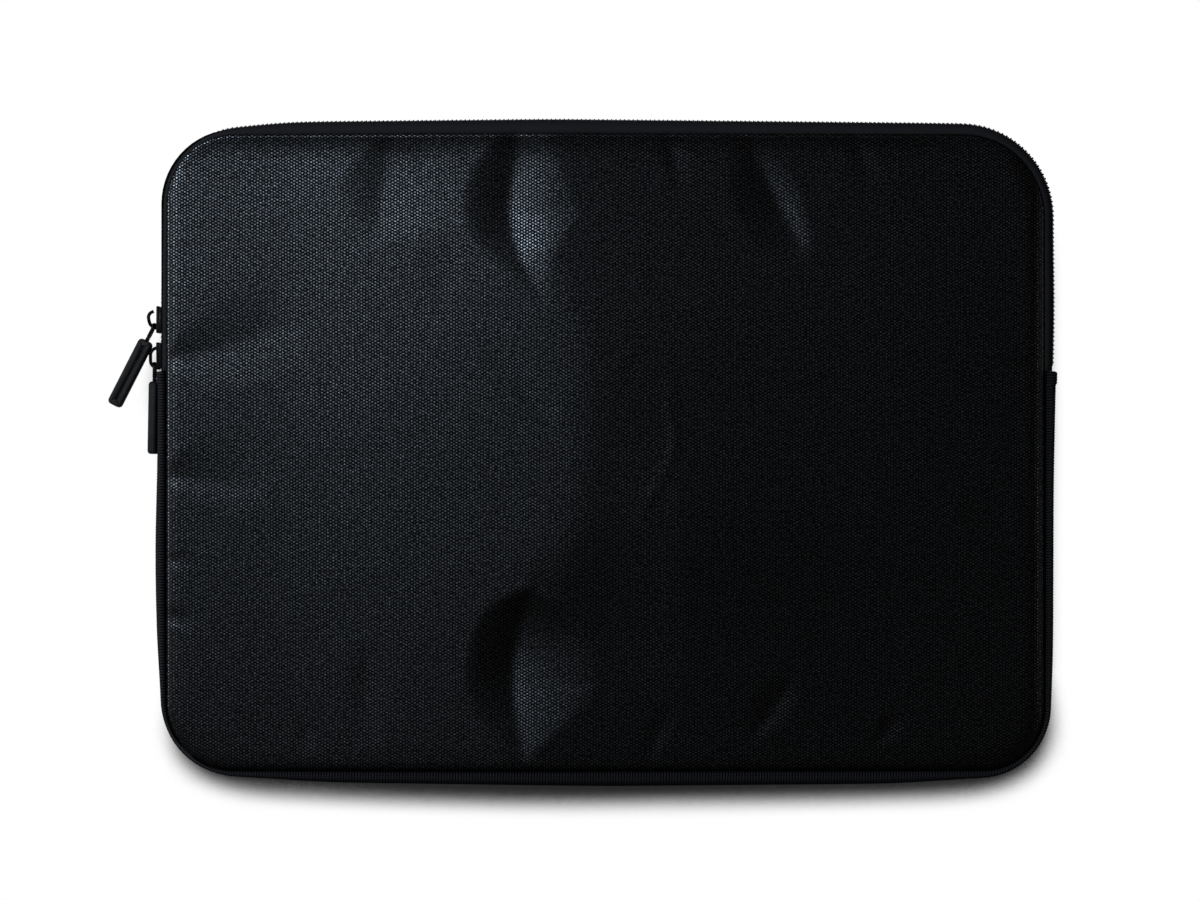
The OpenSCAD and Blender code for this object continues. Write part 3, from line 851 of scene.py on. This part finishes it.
def stitch_row(side):
    """Lockstitches along the groove, each a short thread."""
    bm = bmesh.new()
    for i in range(int(SEAM_LENGTH / STITCH_PITCH)):
        s = i * STITCH_PITCH
        up = side * (float(wall_height(s, side)) - SEAM_DEPTH + STITCH_D / 2)
        middle, angle = past_seam(s, SEAM_GAP / 2, up)
        turn = Matrix.Rotation(angle, 4, "Z") @ Matrix.Rotation(QUARTER, 4, "X")
        rod(bm, middle, turn, STITCH_D, STITCH_LEN, STITCH_SIDES)
    return bm


front_seam = finished(
    "front_seam_allowance", seam_strip(1), SEAM_CLOTH_AND_SHADE, thickness=ALLOWANCE_T)
front_stitches = finished("front_seam_stitches", stitch_row(1), SEAM_CLOTH_AND_SHADE)
back_seam = finished(
    "back_seam_allowance", seam_strip(-1), SEAM_CLOTH_AND_SHADE, body="sleeve", thickness=ALLOWANCE_T)
finished("back_seam_stitches", stitch_row(-1), SEAM_CLOTH_AND_SHADE, body="sleeve")

BINDING_W = 4.5 * MM
BINDING_GAP = 0.9 * MM
BINDING_IN = 3.2 * MM
BINDING_FORM = 0.6
BINDING_SPREAD = 3
MERGE_DISTANCE = 0.01 * MM


def binding_loop(side):
    """Tape folded round the seam allowance inside the pocket, all round the front (1) or back (-1) seam."""
    def section(s, v):
        far = np.abs(2 * v - 1)
        reach = BINDING_W * np.sin(QUARTER * (1 - far)) ** BINDING_FORM
        lean = BINDING_GAP * np.clip((2 * v - 1) * BINDING_SPREAD, -1, 1) / 2
        out = -BINDING_IN - reach
        return out, side * (allowance_level(s, side, out) + lean)

    bm = swept_sheet(WHOLE_SEAM, BINDING_GRID, section)
    bmesh.ops.remove_doubles(bm, verts=bm.verts[:], dist=MERGE_DISTANCE)
    bmesh.ops.recalc_face_normals(bm, faces=bm.faces[:])
    return bm


front_binding = finished(
    "front_binding_tape", binding_loop(1), BINDING,
    replaces=("front_binding", "flap_binding"))
back_binding = finished(
    "back_binding_tape", binding_loop(-1), BINDING, body="sleeve",
    replaces=("back_binding",))


# Zip coil

TOOTH_PITCH = 1.68 * MM
TOOTH_W = 0.85 * MM
TOOTH_REACH = 0.5 * MM
TOOTH_FOOT = 3.0 * MM
TOOTH_T = 1.4 * MM
TOOTH_BEVEL = 0.3 * MM
COIL_END = 1.5 * MM


def coil_row(side, shift):
    """One row of coil: rounded loops across the tape's edge that reach in between the other row's."""
    bm = bmesh.new()
    size = Matrix.Diagonal((TOOTH_T, TOOTH_W, TOOTH_FOOT + TOOTH_REACH, 1))
    for i in range(int((ZIP_LEN - 2 * COIL_END) / TOOTH_PITCH)):
        s = ZIP_FROM + COIL_END + (i + shift) * TOOTH_PITCH
        out = float(wall_bulge(s)) - TOOTH_T / 2
        middle, angle = past_seam(s, out, side * (TOOTH_FOOT - TOOTH_REACH) / 2)
        place = Matrix.Translation(middle) @ Matrix.Rotation(angle, 4, "Z") @ size
        bmesh.ops.create_cube(bm, size=1, matrix=place)
    bevel_edges(bm, bm.edges[:], TOOTH_BEVEL, segments=1)
    return bm


front_coil = finished(
    "front_zip_coil", coil_row(1, 0.0), COIL_NYLON, replaces=("zip_coil_front",))
finished(
    "back_zip_coil", coil_row(-1, 0.5), COIL_NYLON, body="sleeve", replaces=("zip_coil_back",))

# The front's pieces have no body; their placing is baked into their meshes
FRONT_PIECES = (
    front_cover, front_foam, front_lining, front_seam, front_stitches, front_tape, front_coil, front_binding)
for front_piece in FRONT_PIECES:
    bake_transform(front_piece)


# Sliders and pulls

SLIDER_LO, SLIDER_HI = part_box("lower_slider")
UPPER_SLIDER_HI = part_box("upper_slider")[1]
SLIDER_LEN = SLIDER_HI.y - SLIDER_LO.y
NOSE_W = SLIDER_HI.z - SLIDER_LO.z
TAIL_SHARE = 0.77
CASTING_BEVEL = 0.2 * MM
PLATE_T = 1.2 * MM
PLATE_BEVEL = 0.45 * MM
OUTER_PLATE = 0.3 * MM
INNER_PLATE = -3.6 * MM
CROSSBAR_OUT = 2.4 * MM
WALL_X = JOINT["lower_pull_swing"]["pos_m"][0] + CROSSBAR_OUT
FLANGE_T = 0.7 * MM
FLANGE_H = 1.0 * MM
FLANGE_BITE = 0.6 * MM
FLANGE_SHORTER = 1 * MM
POST_LEN = 2.6 * MM
POST_W = 1.0 * MM
BRIDGE_T = 1.35 * MM
BRIDGE_W = 2.2 * MM
BRIDGE_BACK = 1.4 * MM

# Ways of the two bridges: lengths to run, and bends in degrees with their radii
CLOSED_BRIDGE = (0.4 * MM, (-90, 2.8 * MM), 2.2 * MM, (-90, 2.8 * MM), 0.2 * MM)
HOOK_BRIDGE = (0.6 * MM, (-80, 3.2 * MM), 1.2 * MM, (-75, 2.2 * MM), 0.8 * MM)


def bent_bar(bm, matrix, width, thickness, moves, sides=12, bend_steps=6):
    """Bar drawn along +X and bent about +Z: each move is a length to run, or an angle and a radius."""
    before = set(bm.verts)
    shape = Matrix.Rotation(QUARTER, 4, "Y") @ Matrix.Diagonal((width / 2, thickness / 2, 1, 1))
    ring = bmesh.ops.create_circle(bm, cap_ends=True, segments=sides, radius=1, matrix=shape)
    face = next(iter(ring["verts"][0].link_faces))
    at, heading = Vector((0, 0, 0)), 0.0
    for move in moves:
        if isinstance(move, tuple):
            angle, radius = math.radians(move[0]), move[1]
            side = 1 if angle > 0 else -1
            centre = at + side * radius * Vector((-math.sin(heading), math.cos(heading), 0))
            done = bmesh.ops.spin(
                bm, geom=[face], cent=centre, axis=(0, 0, 1), dvec=(0, 0, 0), angle=angle, steps=bend_steps)
            face = next(item for item in done["geom_last"] if isinstance(item, bmesh.types.BMFace))
            at = centre + Matrix.Rotation(angle, 3, "Z") @ (at - centre)
            heading += angle
        else:
            step = move * Vector((math.cos(heading), math.sin(heading), 0))
            done = bmesh.ops.extrude_face_region(bm, geom=[face])
            face = next(item for item in done["geom"] if isinstance(item, bmesh.types.BMFace))
            bmesh.ops.translate(bm, verts=face.verts[:], vec=step)
            at += step
    verts = [vert for vert in bm.verts if vert not in before]
    bmesh.ops.transform(bm, matrix=matrix, verts=verts)


def tapered_block(bm, centre, size, bevel, segments=2):
    """Rounded box that is narrower towards the slider's tail."""
    corners = block(bm, centre, size)
    for vert in corners:
        if vert.co.y < SLIDER_LEN / 2:
            vert.co.z *= TAIL_SHARE
    round_edges(bm, corners, bevel, segments)


def slider_mesh(tail_y, way, bridge):
    """Cast slider on the left wall, drawn with out, along and up as axes: plates, flanges, post, bridge."""
    bm = bmesh.new()
    plate_size = (PLATE_T, SLIDER_LEN, NOSE_W)
    flange_size = (FLANGE_H + FLANGE_BITE, SLIDER_LEN - FLANGE_SHORTER, FLANGE_T)
    for base, to_flange in ((OUTER_PLATE, -FLANGE_H / 2), (INNER_PLATE, PLATE_T + FLANGE_H / 2)):
        tapered_block(bm, (base + PLATE_T / 2, SLIDER_LEN / 2, 0), plate_size, PLATE_BEVEL, segments=3)
        for side in (-1, 1):
            centre = (base + to_flange, SLIDER_LEN / 2, side * (NOSE_W - FLANGE_T) / 2)
            tapered_block(bm, centre, flange_size, CASTING_BEVEL)
    post_centre = ((OUTER_PLATE + INNER_PLATE + PLATE_T) / 2, SLIDER_LEN - POST_LEN / 2, 0)
    post = block(bm, post_centre, (OUTER_PLATE - INNER_PLATE, POST_LEN, POST_W))
    round_edges(bm, post, CASTING_BEVEL)
    start = Vector((OUTER_PLATE + PLATE_T / 2, SLIDER_LEN - BRIDGE_BACK - BRIDGE_T / 2, 0))
    bent_bar(bm, Matrix.Translation(start), BRIDGE_W, BRIDGE_T, bridge)
    place = Matrix(((-1, 0, 0, WALL_X), (0, way, 0, tail_y), (0, 0, 1, MID_Z), (0, 0, 0, 1)))
    bmesh.ops.transform(bm, matrix=place, verts=bm.verts[:])
    bmesh.ops.recalc_face_normals(bm, faces=bm.faces[:])
    return bm


finished(
    "lower_slider_casting", slider_mesh(SLIDER_LO.y, 1, CLOSED_BRIDGE), SLIDER_ENAMEL,
    body="lower_slider", replaces=("lower_slider",))
finished(
    "upper_slider_casting", slider_mesh(UPPER_SLIDER_HI.y, -1, HOOK_BRIDGE), SLIDER_ENAMEL,
    body="upper_slider", replaces=("upper_slider",))

CROSSBAR_D = 1.2 * MM
LINK_W = 5.0 * MM
EYE_SHARE = 1.35
EYE_SIDES = 20
ARM_W = 1.0 * MM
ARM_LEN = 5.4 * MM
ARM_BEVEL = 0.3 * MM
YOKE_LEN = 1.4 * MM
YOKE_BEVEL = 0.35 * MM
TANG_D = 1.6 * MM
TANG_LEN = 8.8 * MM
TANG_BITE = 0.4 * MM
GRIP_START = ARM_LEN + YOKE_LEN
GRIP_LEN = 28.4 * MM
GRIP_W = 5.9 * MM
GRIP_T = 3.4 * MM
GRIP_CORNER = 1.6 * MM
GRIP_ROUND = 1.0 * MM
GRIP_SHARP = math.radians(60)
GRIP_LIP = 1.25 * MM
GRIP_SLOPE = 0.15 * MM
GRIP_GROOVE = 1.4 * MM
BROAD_AREA = 40 * MM * MM
BROAD_FACING = 0.99
LOWER_ROLL = math.radians(-12)
UPPER_ROLL = math.radians(80)
LOWER_TILT = math.radians(1)
UPPER_TILT = math.radians(27)


def pull_place(joint, tilt):
    """Matrix that hangs a pull, drawn along -Y from its crossbar, at its joint on the left wall."""
    return Matrix.Translation(JOINT[joint]["pos_m"]) @ Matrix.Rotation(-tilt, 4, "Z")


def link_mesh(place):
    """Wire link: crossbar, two arms with rounded eyes, the yoke and the tang inside the grip."""
    bm = bmesh.new()
    upright, lengthwise = Matrix.Identity(4), Matrix.Rotation(QUARTER, 4, "X")
    rod(bm, (0, 0, 0), upright, CROSSBAR_D, LINK_W)
    for side in (-1, 1):
        z = side * (LINK_W - ARM_W) / 2
        rod(bm, (0, 0, z), upright, CROSSBAR_D * EYE_SHARE, ARM_W, EYE_SIDES)
        arm = block(bm, (0, -ARM_LEN / 2, z), (CROSSBAR_D, ARM_LEN, ARM_W))
        round_edges(bm, arm, ARM_BEVEL, segments=3)
    yoke = block(bm, (0, -ARM_LEN - YOKE_LEN / 2, 0), (CROSSBAR_D, YOKE_LEN, LINK_W))
    round_edges(bm, yoke, YOKE_BEVEL, segments=3)
    rod(bm, (0, -GRIP_START - TANG_LEN / 2 + TANG_BITE, 0), lengthwise, TANG_D, TANG_LEN)
    bmesh.ops.transform(bm, matrix=place, verts=bm.verts[:])
    return bm


def grip_mesh(place, roll):
    """Moulded grip: rounded bar with a long groove in both broad faces."""
    bm = bmesh.new()
    block(bm, (0, -GRIP_START - GRIP_LEN / 2, 0), (GRIP_T, GRIP_LEN, GRIP_W))
    ends = [edge for edge in bm.edges if abs(edge.verts[0].co.x - edge.verts[1].co.x) > GRIP_T / 2]
    bevel_edges(bm, ends, GRIP_CORNER, segments=4)
    rims = [edge for edge in bm.edges if edge.calc_face_angle(0) > GRIP_SHARP]
    bevel_edges(bm, rims, GRIP_ROUND, segments=4)
    facing = [face for face in bm.faces if abs(face.normal.x) > BROAD_FACING]
    for face in [face for face in facing if face.calc_area() > BROAD_AREA]:
        bmesh.ops.inset_region(bm, faces=[face], thickness=GRIP_LIP)
        bmesh.ops.inset_region(bm, faces=[face], thickness=GRIP_SLOPE)
        bmesh.ops.translate(bm, verts=face.verts[:], vec=-GRIP_GROOVE * face.normal)
    bmesh.ops.transform(bm, matrix=place @ Matrix.Rotation(roll, 4, "Y"), verts=bm.verts[:])
    bmesh.ops.recalc_face_normals(bm, faces=bm.faces[:])
    return bm


for name, tilt, roll in (("lower", LOWER_TILT, LOWER_ROLL), ("upper", UPPER_TILT, UPPER_ROLL)):
    place = pull_place(f"{name}_pull_swing", tilt)
    finished(
        f"{name}_pull_wire", link_mesh(place), SLIDER_ENAMEL, body=f"{name}_pull",
        replaces=(f"{name}_pull_link",))
    finished(
        f"{name}_pull_moulding", grip_mesh(place, roll), GRIP_RUBBER, body=f"{name}_pull",
        replaces=(f"{name}_pull_grip",))


# Stage, camera and lights

# Camera: width of a pixel at the sleeve's middle height, size of the photograph and pixel over the origin
PIXEL = 0.391 * MM
PHOTO_W, PHOTO_H = 1200, 900
OBJECT_PX = (606.0, 450.5)
CAMERA_DISTANCE = 1.5
SENSOR = 36.0

# Floor and lamps
FLOOR_HALF = 6.0
FLOOR_GREY = (0.5, 0.5, 0.5, 1)
WORLD_LIGHT = 0.03
SOFT_BOXES = (  # name, place and aim in metres, length of a side, watts and colour
    ("upper_left_box", (-0.64, 0.51, 1.5), (0, 0, 0.02), 0.3, 42.5, (0.84, 0.91, 1.0)),
    ("left_box", (-1.3, 0.2, 0.38), (-0.17, 0, 0.01), 0.5, 19, (0.9, 0.95, 1.0)),
    ("right_fill", (1.3, -0.05, 0.9), (0.1, 0, 0.02), 0.4, 1.4, (1.0, 0.97, 0.93)),
)

# Shadow on the floor, where the sleeve hides it within a reach: the way to look from the floor, which turns
# inwards at the lower corners, how much deeper it is at the right, and the open shares from dark to light
SHADOW_REACH = 26 * MM
SHADOW_SAMPLES = 40
SHADOW_WAY = (-0.1, 0.8, 0.6)
SHADOW_TURN = -5.0
SHADOW_TURN_Y = (-150 * MM, -88 * MM)
SHADOW_DEEPER = 0.045
SHADOW_DEEPER_X = (20 * MM, 130 * MM)
SHADOW_OPEN = (0.405, 0.65)
SHADOW_DARKEST = 0.02


def floor_shadow(tree):
    """Light left on the floor: less where the sleeve stands in the shadow's way, so most just below it."""
    hidden = tree.nodes.new("ShaderNodeAmbientOcclusion")
    hidden.samples = SHADOW_SAMPLES
    hidden.inputs["Distance"].default_value = SHADOW_REACH
    place = tree.nodes.new("ShaderNodeSeparateXYZ")
    tree.links.new(tree.nodes.new("ShaderNodeTexCoord").outputs["Object"], place.inputs[0])
    turn = stretch(tree, place.outputs[1], *SHADOW_TURN_Y, SHADOW_TURN, 0.0)
    sideways = maths(tree, "ADD", maths(tree, "MULTIPLY", place.outputs[0], turn), SHADOW_WAY[0])
    way = wire(tree, "ShaderNodeCombineXYZ", {0: sideways, 1: SHADOW_WAY[1], 2: SHADOW_WAY[2]})
    unit_way = wire(tree, "ShaderNodeVectorMath", {0: way}, operation="NORMALIZE")
    tree.links.new(unit_way, hidden.inputs["Normal"])
    deeper = stretch(tree, place.outputs[0], *SHADOW_DEEPER_X, 0, SHADOW_DEEPER)
    open_share = maths(tree, "SUBTRACT", hidden.outputs["AO"], deeper)
    return stretch(tree, open_share, *SHADOW_OPEN, SHADOW_DARKEST, 1.0, interpolation_type="SMOOTHSTEP")


def stage_floor():
    """Pale floor that shows white, with the soft shadow of the sleeve."""
    bm = bmesh.new()
    bmesh.ops.create_grid(bm, x_segments=1, y_segments=1, size=FLOOR_HALF)
    mesh = bpy.data.meshes.new("floor")
    bm.to_mesh(mesh)
    bm.free()
    floor = bpy.data.objects.new("floor", mesh)
    bpy.context.scene.collection.objects.link(floor)
    mat = bpy.data.materials.new("floor_paper")
    mat.use_nodes = True
    tree = mat.node_tree
    tree.nodes.clear()
    glow = wire(tree, "ShaderNodeEmission", {"Strength": floor_shadow(tree)})
    bounce = wire(tree, "ShaderNodeBsdfDiffuse", {"Color": FLOOR_GREY})
    path = tree.nodes.new("ShaderNodeLightPath")
    seen = maths(tree, "MAXIMUM", path.outputs["Is Camera Ray"], path.outputs["Is Glossy Ray"])
    seen = maths(tree, "MAXIMUM", seen, path.outputs["Is Transmission Ray"])
    mixed = wire(tree, "ShaderNodeMixShader", {0: seen, 1: bounce, 2: glow})
    wire(tree, "ShaderNodeOutputMaterial", {0: mixed})
    mesh.materials.append(mat)


def soft_light(name, at, aim, side, watts, colour):
    """Square soft box aimed at a point."""
    data = bpy.data.lights.new(name, "AREA")
    data.shape = "SQUARE"
    data.size = side
    data.energy = watts
    data.color = colour
    lamp = bpy.data.objects.new(name, data)
    lamp.location = at
    lamp.rotation_euler = (Vector(aim) - Vector(at)).to_track_quat("-Z", "Y").to_euler()
    bpy.context.scene.collection.objects.link(lamp)


def studio_world():
    """Dim even light from all round, white where the camera looks past the floor."""
    world = bpy.data.worlds.new("studio")
    bpy.context.scene.world = world
    world.use_nodes = True
    tree = world.node_tree
    path = tree.nodes.new("ShaderNodeLightPath")
    back = tree.nodes["Background"]
    back.inputs["Color"].default_value = (1, 1, 1, 1)
    strength = stretch(tree, path.outputs["Is Camera Ray"], 0, 1, WORLD_LIGHT, 1.0)
    tree.links.new(strength, back.inputs["Strength"])


def photo_camera():
    """Camera straight over the front panel, at the photograph's framing."""
    data = bpy.data.cameras.new("camera")
    data.sensor_width = SENSOR
    data.lens = SENSOR * CAMERA_DISTANCE / (PHOTO_W * PIXEL)
    camera = bpy.data.objects.new("camera", data)
    camera.location = (
        (PHOTO_W / 2 - OBJECT_PX[0]) * PIXEL, (OBJECT_PX[1] - PHOTO_H / 2) * PIXEL, MID_Z + CAMERA_DISTANCE)
    bpy.context.scene.collection.objects.link(camera)
    bpy.context.scene.camera = camera


stage_floor()
studio_world()
photo_camera()
for soft_box in SOFT_BOXES:
    soft_light(*soft_box)
bpy.context.scene.view_settings.view_transform = "Standard"
